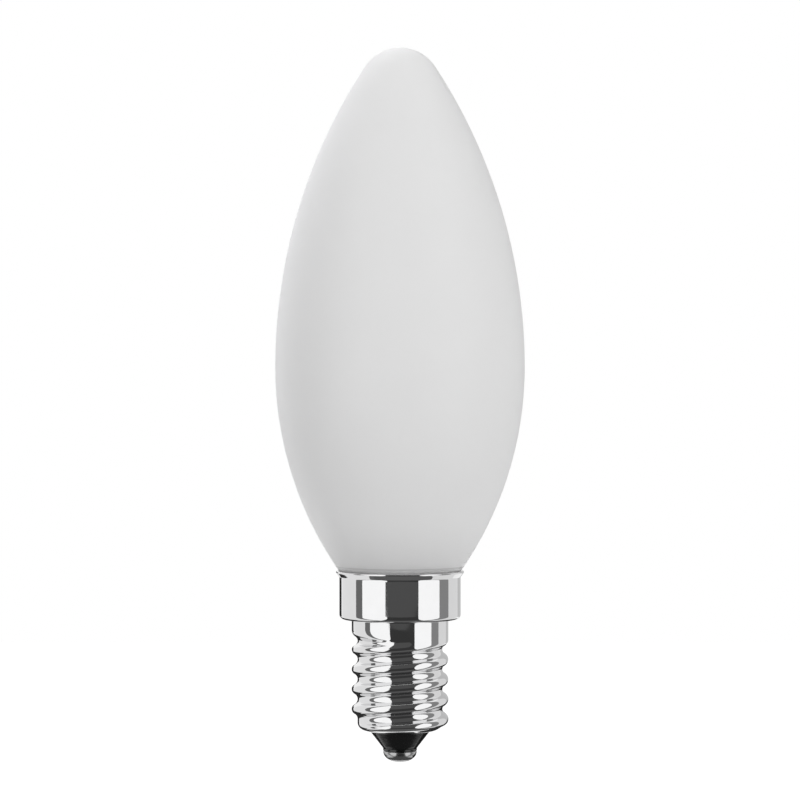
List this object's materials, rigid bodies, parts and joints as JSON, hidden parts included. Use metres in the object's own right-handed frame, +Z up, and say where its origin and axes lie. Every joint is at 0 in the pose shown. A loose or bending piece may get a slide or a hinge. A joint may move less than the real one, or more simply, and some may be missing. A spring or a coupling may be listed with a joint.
{
  "type": "candle bulb",
  "caption": "Candle-shaped frosted glass lamp on a small screw cap with a wide skirt, a black insulator and a domed centre contact.",
  "frame": {"origin": "lowest point of the centre contact, on the lamp's axis", "axes": "+Z up the axis from the contact to the tip of the glass; -Y faces the camera of the picture"},
  "size_m": [0.0354, 0.0354, 0.1014],
  "materials": {
    "contact_metal": "satin plated metal",
    "black_glass": "glossy opaque black glass",
    "plated_cap": "bright nickel plating",
    "frosted_glass": "white frosted, satin, can't be seen through"
  },
  "bodies": {
    "root": {"centre_contact": "contact_metal", "insulator": "black_glass", "screw_cap_shell": "plated_cap", "glass_envelope": "frosted_glass"}
  },
  "joints": []
}
